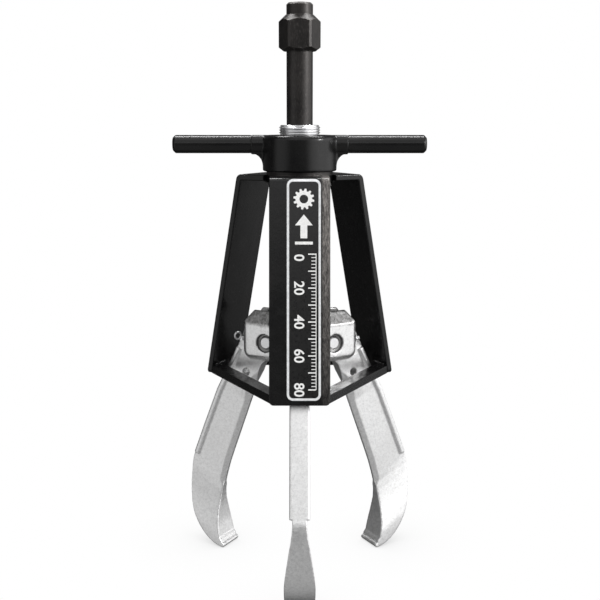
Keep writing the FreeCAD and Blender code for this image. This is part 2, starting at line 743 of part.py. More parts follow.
def jaw(label, angle):
    part = new_body(label, angle)
    pin_x, pin_z = size["pin_reach"], size["pin_height"]
    eye_end = math.radians(228)
    profile = draw(part, "side", [(pin_x, pin_z + EYE_RADIUS)] + SHOULDER + BACK
                   + [("spline", HOOK)] + TIP + [("spline", HOOK_INNER)] + SHANK_INNER
                   + [(pin_x + EYE_RADIUS * math.cos(eye_end),
                       pin_z + EYE_RADIUS * math.sin(eye_end)),
                      ("arc", pin_x - EYE_RADIUS, pin_z, pin_x, pin_z + EYE_RADIUS)])
    pad(part, profile, dim("hook_width"), "blank", both=True)
    cut_flanks(part)
    cut_shank_corners(part)
    add_rib(part)
    cross_hole(part, "pivot", dim("pin_dia") / 2 + 0.06, dim("pin_reach"), dim("pin_height"))
    cross_hole(part, "shank_hole", 3.0, 46.0, 150.2)
    cross_hole(part, "cotter_hole", 1.62, COTTER_X, COTTER_Z)


def clevis_pin(label, angle):
    part = new_body(label, angle)
    length = 22.4
    cylinder(part, "shank", dim("pin_dia") / 2, length,
             (dim("pin_reach"), -length / 2, dim("pin_height")), ALONG_Y, "Additive")
    soften(part, "ends", 0.8, is_circle, "Chamfer")


def cotter_pin(label, angle):
    """Split pin: round shank, loop at one end, two tails spread at the other."""
    shank = doc.addObject("Part::Cylinder", label + "_shank")
    shank.Radius, shank.Height = 1.55, 14.4
    shank.Placement = Placement(Vector(COTTER_X, -6.6, COTTER_Z), ALONG_Y)
    # the loop is bent a little upwards and outwards
    loop = doc.addObject("Part::Torus", label + "_eye")
    loop.Radius1, loop.Radius2 = 2.75, 0.78
    loop.Placement = Placement(
        Vector(COTTER_X + 1.5, 9.3, COTTER_Z + 2.3),
        Rotation(Vector(0, 0, 1), -22).multiply(Rotation(Vector(0, 1, 0), 90)))
    shapes = [shank, loop]
    for tag, bend, length, drop in (("long", 128, 5.6, 0.7), ("short", 156, 4.6, 0.5)):
        tail = doc.addObject("Part::Cylinder", label + "_tail_" + tag)
        tail.Radius, tail.Height = 0.75, length
        tail.Placement = Placement(Vector(COTTER_X, -6.1, COTTER_Z - drop),
                                   Rotation(Vector(1, 0, 0), bend))
        shapes.append(tail)
    pin = doc.addObject("Part::MultiFuse", label + "_pin")
    pin.Shapes = shapes
    pin.Label = label
    pin.Placement = Placement(Vector(0, 0, 0), Rotation(Vector(0, 0, 1), angle))
    pieces.append(pin)


for side in ("front", "left", "right"):
    jaw("jaw_" + side, AZIMUTH[side])
    clevis_pin("clevis_pin_" + side, AZIMUTH[side])
    cotter_pin("cotter_pin_" + side, AZIMUTH[side])

# -------------------------------------------------------- forcing screw ----
# neck of the screw that carries the swivel tip, as (radius, height)
SCREW_NECK = [(0, 137.1), (4.4, 137.1), (5.0, 137.7), (5.0, 140.25), (4.35, 140.25),
              (4.35, 141.75), (5.0, 141.75), (5.0, 146.0), (9.6, 146.0), (10.0, 146.8)]
SCREW_TURNS = 38
TIP_BORE = 5.06


def forcing_screw():
    part = new_body("forcing_screw")
    shank, crest = size["shank_dia"] / 2, size["thread_dia"] / 2
    thread_low = SCREW_NECK[-1][1]
    thread_high = thread_low + SCREW_TURNS * size["stem_pitch"]
    hex_high, top = size["hex_high"], size["stub_top"]
    section = draw(part, "section", SCREW_NECK + thread(crest, thread_low, SCREW_TURNS) + [
        (crest - THREAD_DEPTH, thread_high + 0.4), (shank, thread_high + 2.4),
        (shank, 416.3), (shank - 0.5, 416.8), (shank - 0.5, hex_high), (shank, hex_high),
        (shank, top - 1.3), (shank - 1.3, top), (0, top)])
    revolve(part, section, "screw_turn")


def hex_drive_nut():
    part = new_body("hex_drive_nut")
    corner = size["hex_flats"] / math.sqrt(3)
    angles = [math.radians(60 * i) for i in range(6)]
    hexagon = draw(part, "hexagon",
                   [(corner * math.cos(angle), corner * math.sin(angle)) for angle in angles],
                   "XY_Plane", dim("hex_low"))
    pad(part, hexagon, dim("hex_high") - dim("hex_low"), "hex_pad")
    cylinder(part, "hex_bore", dim("shank_dia") / 2, 60.0, (0, 0, dim("hex_low") - 10.0))
    # turned ends: the corners fall back to a cone top and bottom
    low, high = size["hex_low"], size["hex_high"]
    section = draw(part, "turned_ends", [
        (11.6, low - 3), (11.6, low), (15.05, low + 2.6), (15.05, high - 4.7),
        (10.15, high), (10.15, high + 3), (25.0, high + 3), (25.0, low - 3)])
    before = volume(part)
    groove = part.newObject("PartDesign::Groove", "hex_turning")
    groove.Profile = section
    groove.ReferenceAxis = (section, ["V_Axis"])
    groove.Angle = 360
    require_cut(part, before, groove, least=1)


def swivel_tip():
    part = new_body("swivel_tip")
    low = dim("tip_low")
    section = draw(part, "section", [
        (0, low), (1.2, low), (8.6, low + 6.6), (9.2, low + 7.6), (9.2, 145.0), (8.4, 145.9),
        (TIP_BORE, 145.9), (TIP_BORE, 141.65), (5.7, 141.65), (5.7, 140.35),
        (TIP_BORE, 140.35), (TIP_BORE, 137.0), (0, 137.0)], fixed=True)
    revolve(part, section, "tip_turn")


def tip_retaining_ring():
    ring = doc.addObject("Part::Torus", "tip_retaining_ring")
    ring.Radius1, ring.Radius2 = TIP_BORE, 0.6
    ring.Placement = Placement(Vector(0, 0, 141.0), Rotation())
    ring.Label = "tip_retaining_ring"
    pieces.append(ring)


forcing_screw()
hex_drive_nut()
swivel_tip()
tip_retaining_ring()

# ---------------------------------------------------------------- write ----
doc.recompute()
faults = []
for item in doc.Objects:
    if "Invalid" in item.State or "Error" in item.State:
        faults.append("%s %s" % (item.Label, item.State))
for piece in pieces:
    if piece.Shape.isNull() or not piece.Shape.isValid() or not piece.Shape.Solids:
        faults.append("shape of " + piece.Label)
    elif len(piece.Shape.Solids) != 1:
        faults.append("%s has %d solids" % (piece.Label, len(piece.Shape.Solids)))
if faults:
    raise RuntimeError("; ".join(faults))
for piece in pieces:
    piece.Shape.exportStep(os.path.join("parts", piece.Label + ".step"))
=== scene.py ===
"""Three-jaw puller: a cage of three leaning legs about a T-handled screw, stem, jaw head and jaws.

The screw axis is Z. The legs stand at 120 degrees about it, the front one towards -Y, where the
camera is, and it carries the name plate. The CAD parts are given their finishes here; weld beads,
printed plate markings and the studio are added. Units are metres.
"""
import json
import math
import bmesh
import bpy
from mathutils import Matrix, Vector, noise


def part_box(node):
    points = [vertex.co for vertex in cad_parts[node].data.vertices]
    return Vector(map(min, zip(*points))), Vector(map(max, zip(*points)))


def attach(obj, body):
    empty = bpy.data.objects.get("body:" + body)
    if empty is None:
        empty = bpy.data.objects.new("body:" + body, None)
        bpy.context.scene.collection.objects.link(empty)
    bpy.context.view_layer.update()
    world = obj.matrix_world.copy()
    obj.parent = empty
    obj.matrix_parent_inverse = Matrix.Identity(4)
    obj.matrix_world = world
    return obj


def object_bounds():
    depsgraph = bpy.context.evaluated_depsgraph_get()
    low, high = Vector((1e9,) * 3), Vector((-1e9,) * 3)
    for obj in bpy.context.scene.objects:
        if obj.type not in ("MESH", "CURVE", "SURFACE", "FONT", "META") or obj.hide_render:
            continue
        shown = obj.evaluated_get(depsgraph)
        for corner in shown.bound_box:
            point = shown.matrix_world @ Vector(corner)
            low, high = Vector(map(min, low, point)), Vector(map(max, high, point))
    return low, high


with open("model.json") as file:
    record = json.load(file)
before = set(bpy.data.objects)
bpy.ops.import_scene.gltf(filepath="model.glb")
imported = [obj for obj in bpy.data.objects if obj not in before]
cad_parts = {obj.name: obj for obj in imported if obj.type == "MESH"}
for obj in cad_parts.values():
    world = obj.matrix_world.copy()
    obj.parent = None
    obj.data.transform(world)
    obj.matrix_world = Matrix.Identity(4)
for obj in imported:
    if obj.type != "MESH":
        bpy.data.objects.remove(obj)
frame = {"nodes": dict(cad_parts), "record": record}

cad_box = [list(map(float, corner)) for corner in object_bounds()]
NODES = frame["nodes"]
scene = bpy.context.scene

# ---------------------------------------------------------- driving sizes ----
LEG_AZIMUTHS = (-90.0, 30.0, 150.0)     # degrees: front, right, left
# two points (radius, height) on the outer face of a leg, which leans inward as it rises
LEG_LOW_RADIUS, LEG_LOW_Z = 0.0718, 0.1497
LEG_HIGH_RADIUS, LEG_HIGH_Z = 0.0417, 0.3052
LEG_THICKNESS = 0.0044
LEAN = math.atan2(LEG_LOW_RADIUS - LEG_HIGH_RADIUS, LEG_HIGH_Z - LEG_LOW_Z)

PLATE_LOW, PLATE_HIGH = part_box("name_plate")
PLATE_X = (PLATE_LOW[0] + PLATE_HIGH[0]) / 2


def leg_face_radius(z):
    """Radius of a leg's outer face at height z."""
    return LEG_LOW_RADIUS - (z - LEG_LOW_Z) * math.tan(LEAN)


# ------------------------------------------------------------ node graphs ----
def grey(level):
    return (level, level, level)


def tint(level, red, green, blue):
    return (level * red, level * green, level * blue)


class Graph:
    """Node tree of a material or a world. Values may be numbers, colours or sockets."""

    def __init__(self, owner, output, coordinates):
        owner.use_nodes = True
        self.tree = owner.node_tree
        self.tree.nodes.clear()
        self.output = self.node(output)
        self.coordinates = self.node("TexCoord").outputs[coordinates]

    def node(self, kind, inputs=None, **settings):
        made = self.tree.nodes.new("ShaderNode" + kind)
        for key, value in settings.items():
            setattr(made, key, value)
        for key, value in (inputs or {}).items():
            self.feed(made.inputs[key], value)
        return made

    def feed(self, socket, value):
        if isinstance(value, bpy.types.NodeSocket):
            self.tree.links.new(value, socket)
        elif socket.type == "RGBA":
            socket.default_value = (*value, 1.0)
        else:
            socket.default_value = value

    def xyz(self):
        """The three components of the texture coordinates."""
        return tuple(self.node("SeparateXYZ", {0: self.coordinates}).outputs)

    def math(self, operation, first, second=0.0, clamp=False):
        inputs = {0: first, 1: second}
        return self.node("Math", inputs, operation=operation, use_clamp=clamp).outputs[0]

    def plus(self, first, second):
        return self.math("ADD", first, second)

    def minus(self, first, second, clamp=False):
        return self.math("SUBTRACT", first, second, clamp)

    def times(self, first, second):
        return self.math("MULTIPLY", first, second)

    def hypotenuse(self, first, second):
        squares = self.plus(self.times(first, first), self.times(second, second))
        return self.math("SQRT", squares)

    def remap(self, value, source=(0.3, 0.7), to=(0.0, 1.0), **settings):
        """Carry the source range onto the range `to`."""
        inputs = {"Value": value, "From Min": source[0], "From Max": source[1],
                  "To Min": to[0], "To Max": to[1]}
        return self.node("MapRange", inputs, **settings).outputs[0]


class Material(Graph):
    """A material built on one Principled shader, textured in object coordinates."""

    def __init__(self, name):
        self.material = bpy.data.materials.new(name)
        super().__init__(self.material, "OutputMaterial", "Object")
        self.shader = self.node("BsdfPrincipled")
        self.feed(self.output.inputs[0], self.shader.outputs[0])

    def noise(self, scale=1.0, detail=4, rough=0.5, distortion=0.0, stretch=None):
        """Noise; `stretch` gives a separate scale along each axis."""
        vector = self.coordinates
        if stretch:
            vector = self.node("Mapping", {"Vector": vector, "Scale": stretch}).outputs[0]
        inputs = {"Vector": vector, "Scale": scale, "Detail": detail, "Roughness": rough,
                  "Distortion": distortion}
        return self.node("TexNoise", inputs).outputs["Fac"]

    def ramp(self, value, *stops):
        """Grey ramp; stops are (position, level)."""
        made = self.node("ValToRGB", {0: value})
        elements = made.color_ramp.elements
        elements.remove(elements[-1])
        for index, (position, level) in enumerate(stops):
            element = elements.new(position) if index else elements[0]
            element.position = position
            element.color = (*grey(level), 1.0)
        return made.outputs[0]

    def mix(self, under, over, mask, strength=None):
        """Lay one colour over another where the mask is 1, thinned by the strength."""
        if strength is not None:
            mask = self.times(mask, strength)
        return self.node("Mix", {0: mask, 6: under, 7: over}, data_type="RGBA").outputs[2]

    def edge(self, radius, low, high):
        """1 on edges, 0 on flat ground; low and high bound the bend that counts."""
        rounded = self.node("Bevel", {"Radius": radius}, samples=4).outputs[0]
        normal = self.node("NewGeometry").outputs["Normal"]
        dot = self.node("VectorMath", {0: rounded, 1: normal}, operation="DOT_PRODUCT")
        return self.remap(self.minus(1.0, dot.outputs["Value"]), (low, high))

    def bump(self, *layers):
        """Stack bumps; layers are (height, distance in metres, strength)."""
        inputs = {}
        for height, distance, strength in layers:
            inputs.update({"Height": height, "Distance": distance, "Strength": strength})
            inputs["Normal"] = self.node("Bump", inputs).outputs[0]
        self.feed(self.shader.inputs["Normal"], inputs["Normal"])

    def set(self, **values):
        """Feed Principled inputs; base_color stands for "Base Color" and so on."""
        for key, value in values.items():
            name = key.replace("_", " ").title().replace("Ior", "IOR")
            self.feed(self.shader.inputs[name], value)


# -------------------------------------------------------------- materials ----
def painted_highlight_band(m):
    """Mask of a painted highlight: the lined band along the +X edge of the front leg, stronger
    towards the top.
    """
    x, _, z = m.xyz()
    band = m.times(m.remap(x, (0.0148, 0.0164)), m.remap(x, (0.0204, 0.0212), to=(1.0, 0.25)))
    fall = m.remap(z, (0.150, 0.262), to=(0.16, 1.0))
    lines = m.ramp(m.noise(detail=4, rough=0.72, stretch=(1700, 1700, 16)),
                   (0.36, 0.10), (0.50, 0.45), (0.66, 1.0))
    blotches = m.ramp(m.noise(detail=4, rough=0.6, stretch=(420, 420, 60)),
                      (0.30, 0.35), (0.62, 1.0))
    return m.times(m.times(band, fall), m.times(lines, blotches))


def enamel(name, streak=False):
    """Sprayed gloss black: faint orange peel, dulled patches, dust, lighter edges that are part
    wear and part painted edge highlight, and with `streak` a painted highlight band.
    """
    m = Material(name)
    patch = m.noise(scale=38, detail=5, rough=0.6)
    fine = m.noise(scale=2600, detail=2)
    peel = m.noise(scale=620, detail=3, rough=0.55)
    wave = m.noise(scale=140, detail=2)
    dust = m.ramp(m.noise(scale=3900, detail=1), (0.0, 0.0), (0.70, 0.0), (0.76, 1.0))
    edge = m.edge(radius=0.0007, low=0.04, high=0.32)
    wear = m.ramp(m.noise(scale=310, detail=5, rough=0.7), (0.44, 0.0), (0.66, 0.85))
    # edge wear that also serves as a painted grey-brown highlight along the edges
    worn_and_highlit_edges = m.times(edge, wear)
    color = m.mix(under=(0.0035, 0.0035, 0.0037), over=(0.0075, 0.0073, 0.0072),
                  mask=m.ramp(patch, (0.35, 0.0), (0.7, 1.0)))
    color = m.mix(color, over=(0.035, 0.033, 0.031), mask=dust, strength=0.30)
    color = m.mix(color, over=(0.10, 0.094, 0.088), mask=worn_and_highlit_edges, strength=0.34)
    roughness = m.plus(m.remap(patch, to=(0.20, 0.32)), m.remap(fine, to=(-0.03, 0.05)))
    if streak:
        # painted highlight: lighter grey-brown band along the front leg's +X edge, stronger
        # towards the top, also made rougher
        wear_and_painted_highlight = painted_highlight_band(m)
        added_roughness = 0.22
        color = m.mix(color, over=(0.36, 0.335, 0.315), mask=wear_and_painted_highlight)
        roughness = m.plus(roughness, m.times(wear_and_painted_highlight, added_roughness))
    m.set(base_color=color, metallic=0.0, specular_ior_level=0.22, coat_weight=0.22,
          coat_roughness=0.10, coat_ior=1.35, roughness=roughness)
    m.bump((wave, 0.0006, 0.16), (peel, 0.00016, 0.26), (fine, 0.00004, 0.30))
    return m.material


def add_painted_top_shade(m, color, tone):
    """Painted shade: dark mottled patches over the head's upper faces, which fall dim."""
    start_z, fade_height = 0.1915, 0.0022
    ragged = 0.004      # how far the noise moves the border
    z = m.xyz()[2]
    height = m.plus(z, m.times(m.noise(scale=210, detail=3, rough=0.6), ragged))
    upper = m.remap(height, (start_z, start_z + fade_height))
    blotches = m.ramp(m.noise(scale=330, detail=5, rough=0.7, distortion=0.8),
                      (0.36, 0.55), (0.60, 1.0))
    # painted shade: darker tint over the head's top region
    return m.mix(color, over=tint(tone, 0.23, 0.227, 0.224), mask=m.times(upper, blotches))


def add_painted_recess_shade(m, color, tone):
    """Painted shade in the round recesses about the pin ends, two to each jaw direction."""
    pin_reach, pin_z = 0.0239, 0.1770       # pin centre: distance from the axis, height
    recess_radius, rim_fade = 0.0071, 0.0006
    face = 0.0130                           # side faces, from the jaw's middle plane
    face_fade = (face - 0.0010, face - 0.0003)
    x, y, z = m.xyz()
    recess_shade = None
    for azimuth in LEG_AZIMUTHS:
        cos, sin = math.cos(math.radians(azimuth)), math.sin(math.radians(azimuth))
        outward = m.plus(m.times(x, cos), m.times(y, sin))
        side = m.math("ABSOLUTE", m.minus(m.times(y, cos), m.times(x, sin)))
        distance = m.hypotenuse(m.minus(outward, pin_reach), m.minus(z, pin_z))
        rim = m.remap(distance, (recess_radius, recess_radius + rim_fade), to=(1.0, 0.0))
        inside = m.times(rim, m.remap(side, face_fade, to=(1.0, 0.0)))
        recess_shade = inside if recess_shade is None else m.math("MAXIMUM", recess_shade, inside)
    # painted shade: darker tint inside the recesses
    return m.mix(color, over=tint(tone, 0.14, 0.138, 0.136), mask=recess_shade, strength=0.85)


def plated(name, tone, roughness, grain=1.0, head=False):
    """Satin zinc on forged steel: sandy grain, faint clouds, shallow pits, brighter edges."""
    m = Material(name)
    broad = m.noise(scale=30, detail=4, rough=0.55, distortion=0.3)
    mottle = m.noise(scale=520, detail=5, rough=0.72, distortion=0.5)
    sand = m.noise(scale=1900, detail=3, rough=0.65)
    fine = m.noise(scale=3800, detail=2, rough=0.6)
    cells = m.node("TexVoronoi", {"Vector": m.coordinates, "Scale": 900}, feature="F1")
    pits = m.ramp(cells.outputs["Distance"], (0.04, 0.0), (0.26, 1.0))
    edge = m.edge(radius=0.0009, low=0.03, high=0.30)
    color = m.mix(under=grey(tone * 0.80), over=grey(tone),
                  mask=m.ramp(mottle, (0.36, 0.0), (0.64, 1.0)))
    color = m.mix(color, over=tint(tone, 0.62, 0.62, 0.625),
                  mask=m.ramp(sand, (0.52, 0.0), (0.70, 0.5)))
    cloud = m.noise(scale=460, detail=6, rough=0.74, distortion=0.5)
    color = m.mix(color, over=grey(min(1.0, tone * 1.12)),
                  mask=m.ramp(cloud, (0.42, 0.0), (0.58, 0.55)))
    color = m.mix(color, over=tint(tone, 0.86, 0.855, 0.85),
                  mask=m.ramp(broad, (0.42, 0.0), (0.70, 1.0)), strength=0.35)
    color = m.mix(color, over=grey(tone * 0.5), mask=m.minus(1.0, pits), strength=0.22)
    # on the head: painted shade over the top region and inside the pin recesses
    if head:
        color = add_painted_top_shade(m, color, tone)
        color = add_painted_recess_shade(m, color, tone)
    color = m.mix(color, over=grey(0.92), mask=edge, strength=0.45)
    textured = m.plus(m.remap(mottle, to=roughness), m.remap(sand, to=(-0.04, 0.07)))
    edge_polish = 0.08      # roughness lost at the edges
    textured = m.minus(textured, m.times(edge, edge_polish), clamp=True)
    m.set(base_color=color, metallic=0.95, roughness=textured, specular_ior_level=0.5)
    swell = m.noise(scale=120, detail=4, rough=0.6)
    m.bump((swell, 0.0006, 0.12 * grain), (mottle, 0.00012, 0.34 * grain),
           (pits, 0.00004, 0.35 * grain), (sand, 0.00006, 0.40 * grain),
           (fine, 0.00003, 0.4 * grain))
    return m.material


def machined(name, tone, roughness):
    """Turned bright steel: fine lathe rings and small handling marks."""
    m = Material(name)
    lathe = m.noise(detail=3, rough=0.7, stretch=(60, 60, 5200))
    scratches = m.noise(detail=2, stretch=(2400, 2400, 300))
    smut = m.noise(scale=60, detail=4, rough=0.6)
    edge = m.edge(radius=0.0005, low=0.03, high=0.25)
    color = m.mix(under=tint(tone, 0.86, 0.86, 0.87), over=tint(tone, 1.0, 1.0, 1.01),
                  mask=m.ramp(smut, (0.35, 0.0), (0.7, 1.0)))
    color = m.mix(color, over=grey(0.95), mask=edge, strength=0.6)
    textured = m.plus(m.remap(lathe, to=(roughness - 0.05, roughness + 0.09)),
                      m.remap(scratches, (0.4, 0.8), to=(0.0, 0.08)))
    m.set(base_color=color, metallic=0.97, roughness=textured, anisotropic=0.35)
    m.bump((lathe, 0.00004, 0.4), (scratches, 0.00003, 0.3))
    return m.material


def oxide(name, lift):
    """Black-oxide steel: brown-black satin with drawn grain; `lift` brightens the ground."""
    m = Material(name)
    grain = m.noise(detail=4, rough=0.65, stretch=(1500, 1500, 420))
    drawn = m.noise(detail=3, rough=0.6, stretch=(2200, 2200, 40))
    cloud = m.noise(scale=48, detail=5, rough=0.6, distortion=0.5)
    edge = m.edge(radius=0.0009, low=0.03, high=0.28)
    wear = m.ramp(m.noise(scale=240, detail=5, rough=0.7), (0.36, 0.0), (0.62, 1.0))
    # edge wear: lighter brown where the oxide is abraded at the edges
    wear_and_painted_highlight = m.times(edge, wear)
    color = m.mix(under=tint(lift, 0.030, 0.0275, 0.0265), over=tint(lift, 0.062, 0.056, 0.053),
                  mask=m.ramp(cloud, (0.32, 0.0), (0.7, 1.0)))
    color = m.mix(color, over=(0.12, 0.11, 0.105),
                  mask=m.ramp(grain, (0.5, 0.0), (0.72, 1.0)), strength=0.35)
    color = m.mix(color, over=(0.30, 0.275, 0.255), mask=wear_and_painted_highlight, strength=0.5)
    roughness = m.plus(m.remap(cloud, to=(0.36, 0.50)), m.remap(grain, to=(-0.05, 0.07)))
    m.set(base_color=color, metallic=0.72, specular_ior_level=0.5, coat_weight=0.12,
          coat_roughness=0.3, roughness=roughness)
    m.bump((cloud, 0.0004, 0.10), (grain, 0.00008, 0.35), (drawn, 0.00005, 0.30))
    return m.material


def name_plate_print():
    """Name plate: printed black ground with a white border."""
    m = Material("name_plate_print")
    border_outset, border_inset = 0.0006, 0.0022    # border lines, in from the plate's edge
    outer_corner, inner_corner = 0.0042, 0.0028     # corner radii of the border
    blur = 0.00004                                  # half width of the printed edge
    middle_z = (PLATE_LOW[2] + PLATE_HIGH[2]) / 2
    half_width = (PLATE_HIGH[0] - PLATE_LOW[0]) / 2
    half_height = (PLATE_HIGH[2] - PLATE_LOW[2]) / 2
    x, _, z = m.xyz()

    def beyond(value, middle, half):
        return m.minus(m.math("ABSOLUTE", m.minus(value, middle)), half)

    def box_distance(inset, corner):
        """Signed distance from a round-cornered box, negative inside."""
        past_x = beyond(x, PLATE_X, half_width - inset - corner)
        past_z = beyond(z, middle_z, half_height - inset - corner)
        outside = m.hypotenuse(m.math("MAXIMUM", past_x, 0.0), m.math("MAXIMUM", past_z, 0.0))
        inside = m.math("MINIMUM", m.math("MAXIMUM", past_x, past_z), 0.0)
        return m.minus(m.plus(outside, inside), corner)

    within_outer = m.remap(box_distance(border_outset, outer_corner), (-blur, blur), to=(1.0, 0.0))
    beyond_inner = m.remap(box_distance(border_inset, inner_corner), (-blur, blur))
    border = m.times(within_outer, beyond_inner)
    mottle = m.noise(scale=420, detail=4, rough=0.6)
    scuff = m.ramp(m.noise(detail=4, rough=0.75, stretch=(900, 900, 120)),
                   (0.62, 0.0), (0.72, 1.0))
    ground = m.mix(under=(0.005, 0.005, 0.0053), over=(0.010, 0.0097, 0.0096),
                   mask=m.ramp(mottle, (0.35, 0.0), (0.7, 1.0)))
    chips = m.ramp(m.noise(scale=1300, detail=4, rough=0.7), (0.66, 0.0), (0.72, 1.0))
    white = m.mix(under=(0.62, 0.63, 0.64), over=(0.86, 0.87, 0.88),
                  mask=m.ramp(mottle, (0.3, 0.0), (0.75, 1.0)))
    white = m.mix(white, over=grey(0.25), mask=chips, strength=0.5)
    color = m.mix(ground, white, mask=border)
    color = m.mix(color, over=(0.20, 0.19, 0.18), mask=scuff, strength=0.06)
    m.set(base_color=color, metallic=0.0, roughness=m.remap(mottle, to=(0.24, 0.38)),
          specular_ior_level=0.3, coat_weight=0.25, coat_roughness=0.14)
    m.bump((m.noise(scale=900, detail=3), 0.00006, 0.25))
    return m.material


def white_ink():
    m = Material("white_ink")
    mottle = m.noise(scale=700, detail=4, rough=0.6)
    color = m.mix(under=(0.74, 0.74, 0.73), over=(0.92, 0.92, 0.91),
                  mask=m.ramp(mottle, (0.3, 0.0), (0.75, 1.0)))
    m.set(base_color=color, roughness=m.remap(mottle, to=(0.3, 0.5)))
    m.bump((mottle, 0.00004, 0.3))
    return m.material


MATERIALS = {
    "enamel": enamel("black_enamel"),
    "enamel_painted_highlight": enamel("black_enamel_painted_highlight", streak=True),
    "jaw": plated("plated_forging", tone=0.80, roughness=(0.32, 0.46)),
    "head": plated("plated_head", tone=0.72, roughness=(0.24, 0.38), grain=0.8, head=True),
    "stem": machined("turned_stem", tone=0.86, roughness=0.20),
    "zinc": machined("zinc_fastener", tone=0.74, roughness=0.28),
    "oxide": oxide("black_oxide", lift=0.50),
    "tip": oxide("hardened_tip", lift=2.6),
    "plate": name_plate_print(),
    "ink": white_ink(),
}
# the finish of each CAD material slot, and the parts that depart from it
SLOT_FINISH = {"black_enamel": "enamel", "plated_steel": "jaw", "zinc_steel": "zinc",
               "black_oxide": "oxide", "hardened_steel": "tip", "label_plate": "plate"}
PART_FINISH = {"jaw_head_block": "head", "jaw_head_stem": "stem",
               "cage_leg_front": "enamel_painted_highlight"}


def dress_parts():
    for part in frame["record"]["subparts"]:
        finish = PART_FINISH.get(part["node"], SLOT_FINISH[part["material_slot"]])
        slots = NODES[part["node"]].data.materials
        slots.clear()
        slots.append(MATERIALS[finish])


# ------------------------------------------------------------ forged parts ----
def forge(name, voxel=0.00050, smoothings=8):
    """Remesh a part into an even skin and relax its corners like a forging."""
    part = NODES[name]
    skin = part.modifiers.new("skin", "REMESH")
    skin.mode = "VOXEL"
    skin.voxel_size = voxel
    skin.use_smooth_shade = True
    relax = part.modifiers.new("relax", "SMOOTH")
    relax.factor = 0.5
    relax.iterations = smoothings


# -------------------------------------------------------------- mesh tools ----
def add_cage_part(name, bm, material, smooth=True):
    """Turn a bmesh into an object that rides on the cage."""
    mesh = bpy.data.meshes.new(name)
    bmesh.ops.recalc_face_normals(bm, faces=bm.faces)
    bm.to_mesh(mesh)
    bm.free()
    mesh.materials.append(MATERIALS[material])
    for polygon in mesh.polygons:
        polygon.use_smooth = smooth
    part = bpy.data.objects.new(name, mesh)
    scene.collection.objects.link(part)
    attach(part, "cage")


def tube(bm, path, radii, sides):
    """Round bead along a roughly level path, closed at both ends."""
    rings = []
    last = len(path) - 1
    for i, point in enumerate(path):
        along = (path[min(i + 1, last)] - path[max(i - 1, 0)]).normalized()
        across = along.cross(Vector((0, 0, 1))).normalized()
        upward = across.cross(along).normalized()
        angles = (2 * math.pi * k / sides for k in range(sides))
        rings.append([bm.verts.new(point + across * (radii[i] * math.cos(angle))
                                   + upward * (radii[i] * math.sin(angle)))
                      for angle in angles])
    for ring, following in zip(rings, rings[1:]):
        for k in range(sides):
            j = (k + 1) % sides
            bm.faces.new((ring[k], ring[j], following[j], following[k]))
    for ring, point, turn in ((rings[0], path[0], -1), (rings[-1], path[-1], 1)):
        centre = bm.verts.new(point)
        for k in range(sides):
            rim = (ring[k], ring[(k + 1) % sides])
            bm.faces.new((*rim[::turn], centre))


def polar_point(azimuth, radius, offset, z):
    """Point at a radius along an azimuth, moved sideways by the offset."""
    cos, sin = math.cos(azimuth), math.sin(azimuth)
    return Vector((radius * cos - offset * sin, radius * sin + offset * cos, z))


# ------------------------------------------------------- welds of the cage ----
BAR_BEAD_RADIUS = 0.00115
BAR_BEAD_SPAN = (0.0030, 0.0178)        # sideways from the leg's middle
BAR_BEAD_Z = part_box("cage_ring_bar_rear")[1][2] + 0.0001
BAR_RIPPLE = 0.0011                     # length of one ripple
COLLAR_BEAD_RADIUS = 0.00120
COLLAR_ARC_RADIUS = 0.0248
COLLAR_ARC_HALF = math.radians(41)
COLLAR_ARC_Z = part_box("cage_leg_front")[1][2] - 0.0046
COLLAR_CHORDS, COLLAR_STEPS = 24, 160
COLLAR_RIPPLE_STEPS = 5.0


def ripple(turns):
    return 0.5 + 0.5 * math.cos(2 * math.pi * turns)


def bar_bead(bm, start, end, seed):
    """Straight rippled fillet weld, tapering at both ends."""
    length = (end - start).length
    steps = max(8, int(length / (BAR_RIPPLE / 4)))
    path, radii = [], []
    for i in range(steps + 1):
        t = i / steps
        wobble = noise.noise(Vector((seed * 3.1, t * length * 160, 0.3)))
        from_end = min(t, 1 - t) * length
        taper = min(1.0, math.sqrt(max(0.0, from_end / (1.6 * BAR_BEAD_RADIUS))) + 0.12)
        swell = 0.86 + 0.16 * ripple(t * length / BAR_RIPPLE) + 0.12 * wobble
        radii.append(BAR_BEAD_RADIUS * taper * swell)
        path.append(start.lerp(end, t) + Vector((0, 0, 0.00012 * wobble)))
    tube(bm, path, radii, sides=12)


def collar_bead(bm, azimuth, seed):
    """Arc of weld between the collar and the arched top end of a leg."""
    corners = []
    for i in range(COLLAR_CHORDS + 1):
        angle = azimuth - COLLAR_ARC_HALF + 2 * COLLAR_ARC_HALF * i / COLLAR_CHORDS
        corners.append(polar_point(angle, COLLAR_ARC_RADIUS, 0.0, COLLAR_ARC_Z))
    path, radii = [], []
    for i in range(COLLAR_STEPS + 1):
        place = i / COLLAR_STEPS * COLLAR_CHORDS
        chord = min(int(place), COLLAR_CHORDS - 1)
        path.append(corners[chord].lerp(corners[chord + 1], place - chord))
        wobble = noise.noise(Vector((seed * 2.3, place * 2.1, 0.7)))
        taper = min(1.0, 0.15 + 0.25 * min(i, COLLAR_STEPS - i))
        swell = 0.85 + 0.15 * ripple(i / COLLAR_RIPPLE_STEPS) + 0.12 * wobble
        radii.append(COLLAR_BEAD_RADIUS * taper * swell)
    tube(bm, path, radii, sides=10)


